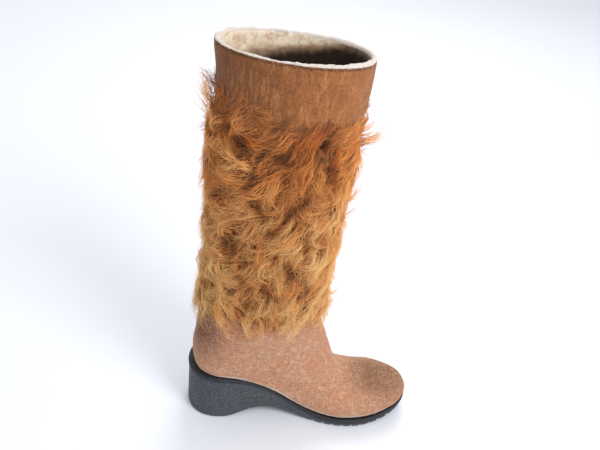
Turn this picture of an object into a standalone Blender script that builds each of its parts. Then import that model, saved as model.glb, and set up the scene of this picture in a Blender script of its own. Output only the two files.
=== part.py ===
"""Felt boot for the left foot, with a band of wool locks and a moulded wedge sole.

Metres, +Z up, the toe towards +X and the inner side of the foot towards -Y.
The origin is on the floor, at the middle of the heel's tread.
"""

import math
import random

import bmesh
import bpy
import numpy as np
from mathutils import Matrix

# Sole
SOLE_LENGTH = 0.257
HEEL_SETBACK = 0.026
HEEL_WIDTH = 0.074
WAIST_WIDTH = 0.073
BALL_WIDTH = 0.093
HEEL_LIFT = 0.0620
FOREFOOT_DEPTH = 0.0105
ARCH_RISE = 0.0128
TOE_SPRING = 0.0100
RIM_BAND = 0.0050
RIM_PROUD = 0.0010
RIM_WALL = 0.0025
CUP_DEPTH = 0.0035
EDGE_BEVEL = 0.0012

# Tread
LUG_PITCH = 0.0109
LUG_GROOVE = 0.0028
LUG_DEPTH = 0.0032
LUG_FIRST = 0.146
LUG_COUNT = 9
HEEL_GROOVE_PITCH = 0.0110
HEEL_GROOVE_LENGTH = 0.044
HEEL_GROOVE_DEPTH = 0.0025
HEEL_GROOVE_COUNT = 4

# Felt upper
FELT_WALL = 0.0050
TOE_BOX_HEIGHT = 0.0375
INSTEP_RISE = 0.0760
TOE_OVERHANG = 0.0
ANKLE_REACH = 0.1420
ANKLE_WIDTH = 0.088
COLLAR_HEIGHT = 0.4390
COLLAR_REACH = 0.1570
COLLAR_WIDTH = 0.107
COLLAR_DIP = 0.0090
COLLAR_SLANT = 0.0050
BACK_LEAN = 0.0160
TURNED_EDGE = 0.0140

# Insole
INSOLE_THICKNESS = 0.0030

# Wool locks
LOCKS_BOTTOM = 0.126
LOCKS_TOP = 0.386
LOCKS_EDGE_WAVE = 0.006
LOCKS_DEPTH = 0.0052
LOCKS_EDGE_DEPTH = 0.0020
LOCK_LENGTH = 0.040
LOCK_WIDTH = 0.0150
LOCK_LIFT = 0.0080
LOCK_COUNT = 40
LOCKS_A_ROW = 8
LOCK_SEED = 14

# Running gap between pieces that touch
GAP = 0.0003

# How far a cutter reaches past what it cuts, and the smallest half width of a section
CUT_PAST = 0.0100
NARROWEST = 0.0010

# How finely the forms are drawn
SIDE_POINTS = 34
RING_POINTS = 32
SECTIONS = 35
SLEEVE_ROWS = 11

# Outline of the sole seen from above, heel to toe:
# station as a share of SOLE_LENGTH, the width there, and how much of it lies on the inner and the outer side
PLAN = (
    (0.000, HEEL_WIDTH, 0.000, 0.000),
    (0.030, HEEL_WIDTH, 0.330, 0.320),
    (0.100, HEEL_WIDTH, 0.480, 0.475),
    (0.180, HEEL_WIDTH, 0.500, 0.500),
    (0.300, WAIST_WIDTH, 0.455, 0.500),
    (0.420, WAIST_WIDTH, 0.470, 0.525),
    (0.520, WAIST_WIDTH, 0.550, 0.545),
    (0.620, BALL_WIDTH, 0.528, 0.440),
    (0.700, BALL_WIDTH, 0.565, 0.440),
    (0.780, BALL_WIDTH, 0.553, 0.410),
    (0.860, BALL_WIDTH, 0.492, 0.330),
    (0.930, BALL_WIDTH, 0.394, 0.215),
    (0.970, BALL_WIDTH, 0.300, 0.105),
    (1.000, BALL_WIDTH, 0.120, -0.120),
)

# Side view of the sole, heel to toe:
# station, share of the heel's lift, share of the arch's rise, share of the toe spring
PROFILE = (
    (0.000, 0.975, 0.00, 0.00),
    (0.093, 0.995, 0.00, 0.00),
    (0.165, 0.990, 0.02, 0.00),
    (0.222, 0.935, 0.35, 0.00),
    (0.275, 0.840, 0.74, 0.00),
    (0.330, 0.710, 0.97, 0.00),
    (0.384, 0.550, 1.00, 0.00),
    (0.442, 0.350, 0.65, 0.00),
    (0.498, 0.185, 0.25, 0.00),
    (0.553, 0.080, 0.02, 0.00),
    (0.607, 0.020, 0.00, 0.00),
    (0.660, 0.000, 0.00, 0.00),
    (0.780, 0.000, 0.00, 0.02),
    (0.850, 0.000, 0.00, 0.17),
    (0.920, 0.000, 0.00, 0.48),
    (1.000, 0.000, 0.00, 1.00),
)

# Sections of the foot from the toe's tip to the heel's seat. Each is a flat loop that stands on the footbed and
# leans forward to the ridge of the foot:
# where it stands and where it meets the ridge, as shares of SOLE_LENGTH, height of its low point and of the ridge
# as shares of TOE_BOX_HEIGHT, share of INSTEP_RISE, share of the way from the sole's width to the ankle's,
# height of its widest place, and squareness of its lower half
FOOT = (
    (1.000, 1.000, 0.22, 0.26, 0.000, 0.00, 0.50, 2.2),
    (0.994, 0.997, 0.10, 0.42, 0.000, 0.00, 0.48, 2.6),
    (0.978, 0.983, 0.03, 0.58, 0.000, 0.00, 0.45, 3.4),
    (0.950, 0.955, 0.00, 0.72, 0.000, 0.00, 0.43, 4.6),
    (0.905, 0.908, 0.00, 0.86, 0.000, 0.00, 0.42, 5.6),
    (0.845, 0.847, 0.00, 0.96, 0.000, 0.00, 0.42, 6.0),
    (0.775, 0.777, 0.00, 1.00, 0.000, 0.00, 0.42, 6.0),
    (0.700, 0.714, 0.00, 1.03, 0.000, 0.00, 0.42, 6.0),
    (0.630, 0.682, 0.00, 1.03, 0.060, 0.05, 0.40, 6.0),
    (0.560, 0.660, 0.00, 1.03, 0.150, 0.12, 0.38, 6.0),
    (0.482, 0.645, 0.00, 1.03, 0.260, 0.22, 0.38, 5.8),
    (0.397, 0.633, 0.00, 1.03, 0.385, 0.35, 0.36, 5.4),
    (0.307, 0.620, 0.00, 1.03, 0.520, 0.45, 0.34, 5.0),
    (0.218, 0.607, 0.00, 1.03, 0.660, 0.30, 0.30, 4.4),
    (0.136, 0.592, 0.00, 1.03, 0.800, 0.10, 0.27, 3.6),
)

# Sections of the heel and leg, upwards:
# height of the back and of the front, from 0 at the seat to 1 at the collar, forward lean of the back as a share
# of BACK_LEAN, front and width as shares of the way from the ankle's to the collar's, height of the widest place,
# and squareness as above
LEG = (
    (0.001, 0.148, 0.42, 0.36, -0.35, 0.28, 2.7),
    (0.010, 0.168, 0.24, 0.25, -0.25, 0.32, 2.3),
    (0.028, 0.190, 0.12, 0.16, -0.15, 0.38, 2.1),
    (0.056, 0.216, 0.03, 0.10, -0.05, 0.42, 2.0),
    (0.098, 0.250, 0.08, 0.04, 0.03, 0.46, 2.0),
    (0.165, 0.302, 0.38, 0.00, 0.18, 0.48, 2.0),
    (0.265, 0.376, 0.74, -0.04, 0.40, 0.50, 2.0),
    (0.385, 0.470, 0.94, 0.04, 0.60, 0.50, 2.0),
    (0.520, 0.580, 1.00, 0.16, 0.75, 0.50, 2.0),
    (0.660, 0.695, 0.98, 0.38, 0.85, 0.50, 2.0),
    (0.800, 0.812, 0.86, 0.68, 0.92, 0.50, 2.0),
    (0.910, 0.912, 0.72, 0.87, 0.97, 0.50, 2.0),
    (1.000, 1.000, 0.65, 1.00, 1.00, 0.50, 2.0),
)


def through(places, values, at):
    """Smooth curve through the rows of a table, read at any place."""
    places, values = np.array(places, float), np.array(values, float)
    slopes = np.gradient(values, places, axis=0)
    at = np.clip(np.atleast_1d(at), places[0], places[-1])
    low = np.clip(np.searchsorted(places, at) - 1, 0, len(places) - 2)
    span = places[low + 1] - places[low]
    t = (at - places[low]) / span
    shape = (-1,) + (1,) * (values.ndim - 1)
    t, span = t.reshape(shape), span.reshape(shape)
    return (
        (2 * t**3 - 3 * t**2 + 1) * values[low]
        + (t**3 - 2 * t**2 + t) * span * slopes[low]
        + (3 * t**2 - 2 * t**3) * values[low + 1]
        + (t**3 - t**2) * span * slopes[low + 1]
    )


def along(station):
    """X of a station, given as a share of the sole's length from the back of the heel."""
    return np.asarray(station) * SOLE_LENGTH - HEEL_SETBACK


def station_of(x):
    return np.clip((np.asarray(x) + HEEL_SETBACK) / SOLE_LENGTH, 0, 1)


def half_widths(station):
    """Inner and outer half width of the sole's outline. Stations are read by angle, so both ends come out round."""
    rows = np.array([(s, width * inner, width * outer) for s, width, inner, outer in PLAN])
    turn = np.arccos(1 - 2 * rows[:, 0])
    return through(turn, rows[:, 1:], np.arccos(1 - 2 * np.clip(station, 0, 1))).T


def side_view(x):
    """Height of the sole's top edge and of its tread at x."""
    rows = np.array(PROFILE)
    lift, arch, spring = np.maximum(through(rows[:, 0], rows[:, 1:], station_of(x)), 0).T
    top = FOREFOOT_DEPTH + lift * (HEEL_LIFT - FOREFOOT_DEPTH) + spring * TOE_SPRING
    return top, arch * ARCH_RISE + spring * TOE_SPRING


def footbed(x):
    """Height of the felt's underside, which lies inside the sole's rim."""
    return side_view(x)[0] - CUP_DEPTH


def inset_widths(x, inset):
    """Inner and outer half width, at each x, of the sole's outline drawn in by a distance that holds on every side."""
    swing = np.linspace(-math.pi / 2, math.pi / 2, 61)
    spots = np.asarray(x)[:, None] + abs(inset) * np.sin(swing)
    sides = half_widths(station_of(spots.ravel())).reshape(2, *spots.shape) - inset * np.cos(swing)
    on_sole = (spots > along(0) - GAP / 10) & (spots < along(1) + GAP / 10)
    sides = np.where(on_sole, sides, -np.inf if inset < 0 else np.inf)
    return sides.max(axis=2) if inset < 0 else sides.min(axis=2)


def outline(inset):
    """Sole outline drawn in by a distance: up the inner side from heel to toe and back down the outer side."""
    tries = np.linspace(along(0) + inset, along(1) - inset, 401)
    open_there = np.flatnonzero(inset_widths(tries, inset).sum(axis=0) > -GAP / 100)
    start, end = tries[open_there[0]], tries[open_there[-1]]
    turn = np.linspace(0, math.pi, SIDE_POINTS + 1)
    x = start + (1 - np.cos(turn)) / 2 * (end - start)
    inner, outer = inset_widths(x, inset)
    for tip in (0, -1):
        inner[tip], outer[tip] = (inner[tip] - outer[tip]) / 2, (outer[tip] - inner[tip]) / 2
    there = np.column_stack([x, -inner])
    back = np.column_stack([x, outer])[-2:0:-1]
    return np.vstack([there, back])


def add_object(name, mesh, collection, color=None, roughness=0.9):
    obj = bpy.data.objects.new(name, mesh)
    collection.objects.link(obj)
    if color is None:
        obj.hide_render = True
        obj.display_type = "WIRE"
        return obj
    material = bpy.data.materials.new(name)
    material.use_nodes = True
    shader = material.node_tree.nodes["Principled BSDF"]
    shader.inputs["Base Color"].default_value = (*color, 1)
    shader.inputs["Roughness"].default_value = roughness
    shader.inputs["Metallic"].default_value = 0
    mesh.materials.append(material)
    mesh.shade_smooth()
    mesh.set_sharp_from_angle(angle=math.radians(40))
    return obj


def skin(bm, rings):
    """Quads between closed loops of as many points each."""
    made = [[bm.verts.new(point) for point in ring] for ring in rings]
    for low, high in zip(made, made[1:]):
        for i in range(len(low)):
            j = (i + 1) % len(low)
            bm.faces.new((low[i], low[j], high[j], high[i]))
    return made


def close_across(bm, loop, turned):
    """Closes a loop made by outline() with strips from its inner to its outer side."""
    inner = loop[: SIDE_POINTS + 1]
    outer = [loop[0], *reversed(loop[SIDE_POINTS + 1 :]), loop[SIDE_POINTS]]
    for i in range(SIDE_POINTS):
        corners = [inner[i], inner[i + 1], outer[i + 1], outer[i]]
        corners = list(dict.fromkeys(corners))
        bm.faces.new(reversed(corners) if turned else corners)


def mesh_from(bm, name):
    bmesh.ops.recalc_face_normals(bm, faces=bm.faces)
    bmesh.ops.triangulate(bm, faces=bm.faces)
    mesh = bpy.data.meshes.new(name)
    bm.to_mesh(mesh)
    bm.free()
    return mesh


def layered(name, layers):
    """Solid between outlines of the sole: each layer is an inset and a function from x to its height."""
    bm = bmesh.new()
    rings = []
    for inset, height in layers:
        loop = outline(inset)
        rings.append(np.column_stack([loop, height(loop[:, 0])]))
    made = skin(bm, rings)
    close_across(bm, made[0], turned=False)
    close_across(bm, made[-1], turned=True)
    return mesh_from(bm, name)


def foot_sections():
    """Guide values of the foot's sections: low point, ridge point, half widths, ridge's side offset and form."""
    for stand, ridge, low, box, instep, leg, widest, square in FOOT:
        x, ridge_x = along(stand), along(ridge)
        over_tip = TOE_OVERHANG * max(0.0, (stand - 0.9) / 0.1)
        foot = footbed(x)[0]
        ball = footbed(along(0.7))[0]
        high = (foot if instep == 0 else ball) + box * TOE_BOX_HEIGHT + instep * INSTEP_RISE
        inner, outer = half_widths(stand)[:, 0]
        at_rim = 1 - (1 - CUP_DEPTH / max(widest * (high - foot), 2 * CUP_DEPTH)) ** square
        swell = at_rim ** (-1 / square)
        offset = -0.5 * (inner - outer) * max(0.0, (stand - 0.55) / 0.45)
        inner = (inner + offset - RIM_WALL) * swell
        outer = (outer - offset - RIM_WALL) * swell
        inner, outer = (side + leg * max(0.0, ANKLE_WIDTH / 2 - side) for side in (inner, outer))
        yield (x + over_tip, foot + low * TOE_BOX_HEIGHT, ridge_x + over_tip, high,
               max(inner, NARROWEST), max(outer, NARROWEST), offset, widest, square)


def leg_sections():
    """The same guide values for the heel and leg."""
    seat = footbed(along(0.06))[0]
    rise = COLLAR_HEIGHT - seat
    for back, front, lean, reach, width, widest, square in LEG:
        back_x = along(0.009) + lean * BACK_LEAN
        front_x = along(0) + ANKLE_REACH + reach * (COLLAR_REACH - ANKLE_REACH)
        side = (ANKLE_WIDTH + width * (COLLAR_WIDTH - ANKLE_WIDTH)) / 2
        dip = COLLAR_DIP * max(0.0, (front - 0.9) / 0.1)
        yield back_x, seat + back * rise, front_x, seat + front * rise - dip, side, side, 0.0, widest, square


def guides():
    """All sections from the toe's tip to the collar, smoothly filled in between the tables' rows."""
    rows = np.array([*foot_sections(), *leg_sections()])
    steps = np.hypot(*np.diff(rows[:, [0, 1]], axis=0).T) + np.hypot(*np.diff(rows[:, [2, 3]], axis=0).T)
    place = np.concatenate([[0], np.cumsum(np.sqrt(steps))])
    wanted = np.interp(np.linspace(0, len(rows) - 1, SECTIONS), np.arange(len(rows)), place)
    rows[:, 1] -= footbed(rows[:, 0])
    rows = through(place, rows, wanted)
    for _ in range(3):
        rows[5:-1] = (rows[4:-2] + 2 * rows[5:-1] + rows[6:]) / 4
    rows[:, 1] += footbed(rows[:, 0])
    return rows


def drawn_in(rows, inset):
    """Guide values of a surface that lies a distance inside the felt's outer face."""
    inside = rows.copy()
    for x, z, side in ((0, 1, 1), (2, 3, -1)):
        run = np.gradient(rows[:, [x, z]], axis=0)
        run /= np.linalg.norm(run, axis=1)[:, None]
        inside[:, x] += side * run[:, 1] * inset
        inside[:, z] -= side * run[:, 0] * inset
    inside[:, 4:6] -= inset
    across = ((inside[:, 2:4] - inside[:, 0:2]) * (rows[:, 2:4] - rows[:, 0:2])).sum(axis=1)
    tall = across > 0.25 * ((rows[:, 2:4] - rows[:, 0:2]) ** 2).sum(axis=1)
    room = tall & (inside[:, 4:6].min(axis=1) > 2 * NARROWEST)
    return inside[np.argmax(room) :]


def section_loop(row):
    """Points of one section: a rounded loop whose lower half is squarer, to lie on the footbed."""
    low, high = np.array(row[:2]), np.array(row[2:4])
    inner, outer, offset, widest, square = row[4:]
    turn = np.linspace(0, 2 * math.pi, RING_POINTS, endpoint=False)
    across, up = np.sin(turn), np.cos(turn)
    power = np.where(up >= 0, 1.0, 2 / square)
    reach = np.where(up >= 0, 1 - widest, widest)
    height = widest + np.sign(up) * np.abs(up) ** power * reach
    side = np.sign(across) * np.abs(across) ** power * np.where(across > 0, outer, inner) + offset
    spot = low + height[:, None] * (high - low)
    slant = COLLAR_SLANT / (COLLAR_WIDTH / 2) * np.clip(low[1] / COLLAR_HEIGHT, 0, 1) ** 4
    return np.column_stack([spot[:, 0], side, spot[:, 1] - slant * side])


def boot_body(name, inset, extra=0.0):
    """Closed solid of the whole boot's form, drawn in by a distance, with extra height above the collar."""
    bm = bmesh.new()
    rows = drawn_in(guides(), inset) if inset else guides()
    rings = [section_loop(row) for row in rows]
    if extra:
        rings.append(rings[-1] + [0, 0, extra])
    made = skin(bm, rings)
    bm.faces.new(made[0])
    bm.faces.new(made[-1])
    return mesh_from(bm, name)


def add_boolean(obj, other, operation):
    modifier = obj.modifiers.new(other.name, "BOOLEAN")
    modifier.operation = operation
    modifier.object = other


def make_upper(parts, tools):
    upper = add_object("upper", boot_body("upper", 0), parts, (0.42, 0.24, 0.15), 0.95)
    hollow = add_object("hollow", boot_body("hollow", FELT_WALL, extra=CUT_PAST), tools)
    add_boolean(upper, hollow, "DIFFERENCE")
    inset = RIM_WALL + TURNED_EDGE
    opening = layered("underside", (
        (inset, lambda x: footbed(x) - FELT_WALL),
        (inset, lambda x: footbed(x) + 2 * FELT_WALL),
    ))
    add_boolean(upper, add_object("underside", opening, tools), "DIFFERENCE")
    return upper


def groove_mesh(name, places, length, depth):
    """Bars that cut grooves across the tread."""
    bm = bmesh.new()
    for x in places:
        tread = side_view(x)[1][0]
        size = Matrix.Diagonal((LUG_GROOVE, length, 2 * depth, 1))
        bmesh.ops.create_cube(bm, size=1, matrix=Matrix.Translation((x, 0, tread)) @ size)
    return mesh_from(bm, name)


def make_outsole(parts, tools):
    def top(drop):
        return lambda x: side_view(x)[0] - drop

    def tread(rise):
        return lambda x: side_view(x)[1] + rise

    panel = RIM_PROUD
    mesh = layered("outsole", (
        (panel + EDGE_BEVEL, tread(0)),
        (panel, tread(EDGE_BEVEL)),
        (panel, top(RIM_BAND + RIM_PROUD)),
        (0, top(RIM_BAND)),
        (0, top(EDGE_BEVEL / 2)),
        (EDGE_BEVEL / 2, top(0)),
    ))
    outsole = add_object("outsole", mesh, parts, (0.055, 0.060, 0.070), 0.7)
    seat = add_object("felt_seat", boot_body("felt_seat", -GAP), tools)
    add_boolean(outsole, seat, "DIFFERENCE")
    lugs = [LUG_FIRST - HEEL_SETBACK + i * LUG_PITCH for i in range(LUG_COUNT)]
    across = groove_mesh("lug_grooves", lugs, 2 * BALL_WIDTH, LUG_DEPTH)
    add_boolean(outsole, add_object("lug_grooves", across, tools), "DIFFERENCE")
    middle = (HEEL_GROOVE_COUNT - 1) / 2
    bars = [(i - middle) * HEEL_GROOVE_PITCH for i in range(HEEL_GROOVE_COUNT)]
    heel = groove_mesh("heel_grooves", bars, HEEL_GROOVE_LENGTH, HEEL_GROOVE_DEPTH)
    add_boolean(outsole, add_object("heel_grooves", heel, tools), "DIFFERENCE")
    return outsole


def make_insole(parts, tools):
    """Footbed that covers the turned-in edge of the felt, with a core that fills the opening within that edge."""

    def above(rise):
        return lambda x: footbed(x) + rise

    top = FELT_WALL + GAP + INSOLE_THICKNESS
    insole = add_object("insole", boot_body("insole", FELT_WALL + GAP), parts, (0.55, 0.45, 0.34), 0.95)
    slab = layered("insole_slab", ((-CUT_PAST, above(-CUT_PAST)), (-CUT_PAST, above(top))))
    add_boolean(insole, add_object("insole_slab", slab, tools), "INTERSECT")
    core = add_object("insole_core", boot_body("insole_core", GAP), tools)
    inset = RIM_WALL + TURNED_EDGE + GAP
    plug = layered("insole_plug", ((inset, above(-CUT_PAST)), (inset, above(top - INSOLE_THICKNESS / 2))))
    add_boolean(core, add_object("insole_plug", plug, tools), "INTERSECT")
    add_boolean(insole, core, "UNION")
    return insole


def leg_columns():
    """Points of the leg's surface as columns that rise to the collar."""
    rings = np.array([section_loop(row) for row in guides()])
    columns = []
    for i in range(RING_POINTS):
        falls = np.flatnonzero(np.diff(rings[:, i, 2]) <= 0)
        columns.append(rings[falls[-1] + 1 if len(falls) else 0 :, i])
    return columns


class Leg:
    """Finds a point of the leg's surface and the way out of it, from the turn round the leg and the height."""

    def __init__(self):
        self.columns = leg_columns()

    def ring(self, heights):
        """One point on every column, at each column's own height."""
        found = []
        for column, z in zip(self.columns, heights):
            found.append([np.interp(z, column[:, 2], column[:, 0]), np.interp(z, column[:, 2], column[:, 1]), z])
        return np.array(found)

    def at(self, turn, height):
        """Point and outward direction. A whole turn is RING_POINTS."""
        ring = self.ring(np.full(RING_POINTS, height))
        low = int(math.floor(turn)) % RING_POINTS
        share = turn - math.floor(turn)
        point = ring[low] * (1 - share) + ring[(low + 1) % RING_POINTS] * share
        return point, outward(ring)[low] * (1 - share) + outward(ring)[(low + 1) % RING_POINTS] * share


def outward(ring):
    """Level directions that point out of a ring."""
    ahead = np.roll(ring, -1, axis=0) - np.roll(ring, 1, axis=0)
    out = np.column_stack([ahead[:, 1], -ahead[:, 0], np.zeros(len(ring))])
    out /= np.linalg.norm(out, axis=1)[:, None]
    middle = ring.mean(axis=0)
    return out if ((ring - middle) * out).sum() > 0 else -out


def sleeve_mesh(leg, rng):
    """Tube with a lumpy outside. Its inside lies within the felt's wall."""
    turn = np.arange(RING_POINTS) * 2 * math.pi / RING_POINTS
    wave = LOCKS_EDGE_WAVE * (np.sin(2 * turn + 0.6) + 0.7 * np.sin(5 * turn) + 0.5 * np.sin(9 * turn + 1.1))
    low = LOCKS_BOTTOM + wave
    high = LOCKS_TOP + np.roll(wave, 5)
    outside, inside = [], []
    for k in range(SLEEVE_ROWS):
        share = k / (SLEEVE_ROWS - 1)
        ring = leg.ring(low + share * (high - low))
        out = outward(ring)
        edge = min(1.0, 4 * min(share, 1 - share))
        depth = LOCKS_EDGE_DEPTH + (LOCKS_DEPTH - LOCKS_EDGE_DEPTH) * edge
        lumps = np.array([1 + 0.28 * edge * rng.uniform(-1, 1) for _ in turn])
        outside.append(ring + out * (depth * lumps)[:, None])
        inside.append(ring - out * FELT_WALL / 2)
    bm = bmesh.new()
    made = skin(bm, [*outside, *inside[::-1]])
    for i in range(RING_POINTS):
        j = (i + 1) % RING_POINTS
        bm.faces.new((made[-1][i], made[-1][j], made[0][j], made[0][i]))
    return mesh_from(bm, "wool_locks")


def lock_mesh(leg, turn, top, lean, length, width, lift):
    """One lock: a flat, tapered and curved prism that starts inside the sleeve and ends in a free tip."""
    around = 2 * math.pi / RING_POINTS * (ANKLE_REACH + ANKLE_WIDTH) / 4
    bm = bmesh.new()
    rings = []
    for t, share in ((0.0, 0.75), (0.4, 1.0), (0.75, 0.62)):
        point, out = leg.at(turn + length * t * math.sin(lean) / around, top - length * t * math.cos(lean))
        middle = point + out * (LOCKS_DEPTH * 0.9 + lift * t * t)
        flat = np.cross(out, [0, 0, 1])
        flat = flat * math.cos(lean) + np.array([0, 0, 1]) * math.sin(lean)
        wide, thick = flat * width / 2 * share, out * width / 4 * share
        rings.append([middle + wide, middle + thick, middle - wide, middle - thick * 1.4])
    point, out = leg.at(turn + length * math.sin(lean) / around, top - length * math.cos(lean))
    made = skin(bm, rings)
    bm.faces.new(made[0])
    tip = bm.verts.new(point + out * (LOCKS_DEPTH * 0.9 + lift))
    for i in range(4):
        bm.faces.new((made[-1][i], made[-1][(i + 1) % 4], tip))
    return mesh_from(bm, "lock")


def add_locks(leg, rng, locks):
    """Locks in rows from the bottom up, each row set between the locks of the one below."""
    rows = LOCK_COUNT // LOCKS_A_ROW
    pitch = (LOCKS_TOP - LOCKS_BOTTOM - 0.7 * LOCK_LENGTH) / rows
    for row in range(rows):
        for place in range(LOCKS_A_ROW):
            share = (place + 0.5 * (row % 2) + rng.uniform(0.0, 0.3)) / LOCKS_A_ROW
            top = LOCKS_BOTTOM + 0.7 * LOCK_LENGTH + (row + rng.uniform(0.3, 0.8)) * pitch
            lean = math.radians(16 + 26 * math.sin(4 * math.pi * share + 0.8 * row) + rng.uniform(-6, 6))
            length = LOCK_LENGTH * rng.uniform(0.8, 1.15)
            width = LOCK_WIDTH * rng.uniform(0.8, 1.2)
            lift = LOCK_LIFT * rng.uniform(0.3, 1.5)
            lock = lock_mesh(leg, share * RING_POINTS, top, lean, length, width, lift)
            add_object("lock", lock, locks)


def make_wool(parts, tools):
    rng = random.Random(LOCK_SEED)
    leg = Leg()
    locks = bpy.data.collections.new("locks")
    tools.children.link(locks)
    wool = add_object("wool_locks", sleeve_mesh(leg, rng), parts, (0.50, 0.30, 0.12), 0.95)
    add_locks(leg, rng, locks)
    joined = wool.modifiers.new("locks", "BOOLEAN")
    joined.operation = "UNION"
    joined.solver = "MANIFOLD"
    joined.operand_type = "COLLECTION"
    joined.collection = locks
    add_boolean(wool, add_object("leg", boot_body("leg", -GAP, extra=CUT_PAST), tools), "DIFFERENCE")
    return wool


def main():
    for old in list(bpy.data.objects):
        bpy.data.objects.remove(old)
    parts = bpy.data.collections.new("felt_boot")
    tools = bpy.data.collections.new("cutters")
    bpy.context.scene.collection.children.link(parts)
    bpy.context.scene.collection.children.link(tools)
    make_outsole(parts, tools)
    make_upper(parts, tools)
    make_insole(parts, tools)
    make_wool(parts, tools)


main()
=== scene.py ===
"""Left felt boot: hollow felt upper, a band of matted wool locks, a felt insole and a moulded wedge sole.

Metres, +Z up, the toe towards +X and the inner side of the foot towards -Y, where the camera stands.
"""

import math

import bmesh
import bpy
import numpy as np
from mathutils import Matrix, Vector
from mathutils.bvhtree import BVHTree


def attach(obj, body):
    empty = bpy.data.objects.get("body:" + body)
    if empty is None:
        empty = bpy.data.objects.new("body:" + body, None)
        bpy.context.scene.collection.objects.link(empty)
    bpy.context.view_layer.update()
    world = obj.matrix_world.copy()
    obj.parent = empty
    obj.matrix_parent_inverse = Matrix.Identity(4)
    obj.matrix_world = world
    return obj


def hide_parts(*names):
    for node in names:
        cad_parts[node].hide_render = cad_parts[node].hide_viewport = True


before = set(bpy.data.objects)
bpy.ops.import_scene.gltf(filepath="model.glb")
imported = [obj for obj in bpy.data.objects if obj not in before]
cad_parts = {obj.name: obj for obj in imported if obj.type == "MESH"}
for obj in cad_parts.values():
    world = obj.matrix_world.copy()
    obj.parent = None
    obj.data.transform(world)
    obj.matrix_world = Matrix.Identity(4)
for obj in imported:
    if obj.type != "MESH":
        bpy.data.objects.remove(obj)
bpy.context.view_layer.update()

# Camera, fitted to the outlines in the photograph
CAMERA_PLACE = (-0.0243, -0.6059, 0.6630)
CAMERA_TURN = 3.53
CAMERA_PITCH = 39.11
CAMERA_ROLL = 3.61
PHOTO_FOCAL = 620
AIM_PIXEL = (361, 176)
IMAGE_SIZE = (600, 450)
SENSOR_WIDTH = 36
ZOOM = 1.18

# Upright line inside the leg, round which the wool is laid
LEG_X, LEG_Y = 0.056, 0.0

# Fine form of each piece
FELT_GRID = 0.0023
SOLE_GRID = 0.0011
INSOLE_GRID = 0.0020
FLEECE_GRID = 0.0040

# How many locks, strands and fibres there are, and into how many pieces the strands go
WOOL_ROWS, WOOL_COLUMNS = 26, 30
STRANDS_A_LOCK = 24
LOOSE_STRANDS = 1600
WOOL_PIECES = 4
FELT_FIBRES = 8000

rng = np.random.default_rng(7)


def linear(red, green, blue):
    """A colour as a screen shows it, 0 to 255, in linear light."""
    shares = (red / 255, green / 255, blue / 255)
    return tuple(c / 12.92 if c <= 0.04045 else ((c + 0.055) / 1.055) ** 2.4 for c in shares)


class Ripples:
    """Smooth noise round 0, seldom past 2 either way: a sum of waves that run every way."""

    def __init__(self, seed, size, waves=24):
        made = np.random.default_rng(seed)
        way = made.normal(size=(waves, 3))
        way /= np.linalg.norm(way, axis=1)[:, None]
        self.ways = way * (2 * math.pi / size) * made.uniform(0.6, 1.6, waves)[:, None]
        self.starts = made.uniform(0, 2 * math.pi, waves)
        self.size = math.sqrt(2 / waves)

    def __call__(self, points):
        return np.sin(points @ self.ways.T + self.starts).sum(axis=1) * self.size


def smooth_step(low, high, values):
    """0 below low, 1 above high, smooth between."""
    share = np.clip((values - low) / (high - low), 0, 1)
    return share * share * (3 - 2 * share)


# Meshes


def vertex_array(mesh):
    """Places of the mesh's vertices, a row for each."""
    points = np.empty(len(mesh.vertices) * 3, np.float32)
    mesh.vertices.foreach_get("co", points)
    return points.reshape(-1, 3).astype(float)


def normal_array(mesh):
    """Outward ways of the mesh's vertices, a row for each."""
    normals = np.empty(len(mesh.vertices) * 3, np.float32)
    mesh.vertex_normals.foreach_get("vector", normals)
    return normals.reshape(-1, 3).astype(float)


def set_vertices(mesh, points):
    mesh.vertices.foreach_set("co", points.astype(np.float32).ravel())
    mesh.update()


def set_value(mesh, name, values):
    """One number for each vertex, for the material."""
    made = mesh.attributes.new(name, "FLOAT", "POINT")
    made.data.foreach_set("value", np.asarray(values, np.float32))


def set_shade(mesh, colors):
    """One colour for each vertex, for the material."""
    made = mesh.attributes.new("shade", "FLOAT_COLOR", "POINT")
    four = np.column_stack([colors, np.ones(len(colors))])
    made.data.foreach_set("color", four.astype(np.float32).ravel())


def add_piece(name, mesh, material):
    """A finished piece, which rides on the boot's one body."""
    piece = bpy.data.objects.new(name, mesh)
    bpy.context.scene.collection.objects.link(piece)
    mesh.materials.clear()
    mesh.materials.append(material)
    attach(piece, "root")
    return piece


def fine_copy(node, name, grid, smoothing):
    """A node's form with an even fine mesh and softened edges."""
    bm = bmesh.new()
    bm.from_mesh(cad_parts[node].data)
    bmesh.ops.remove_doubles(bm, verts=bm.verts, dist=1e-6)
    coarse = bpy.data.meshes.new(name)
    bm.to_mesh(coarse)
    bm.free()
    helper = bpy.data.objects.new(name, coarse)
    bpy.context.scene.collection.objects.link(helper)
    even = helper.modifiers.new("even", "REMESH")
    even.mode = "VOXEL"
    even.voxel_size = grid
    soft = helper.modifiers.new("soft", "SMOOTH")
    soft.factor = 0.5
    soft.iterations = smoothing
    made = bpy.data.meshes.new_from_object(helper.evaluated_get(bpy.context.evaluated_depsgraph_get()))
    bpy.data.objects.remove(helper)
    bpy.data.meshes.remove(coarse)
    made.name = name
    made.shade_smooth()
    return made


def soften(mesh, points, rounds):
    """Points moved half way to the middle of their neighbours, several times."""
    ends = np.empty(len(mesh.edges) * 2, np.int32)
    mesh.edges.foreach_get("vertices", ends)
    one, other = ends.reshape(-1, 2).T
    size = len(points)
    count = np.bincount(one, minlength=size) + np.bincount(other, minlength=size)
    for _ in range(rounds):
        middle = np.empty_like(points)
        for axis in range(3):
            values = points[:, axis]
            total = np.bincount(one, values[other], size) + np.bincount(other, values[one], size)
            middle[:, axis] = total / count
        points = (points + middle) / 2
    return points


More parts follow.
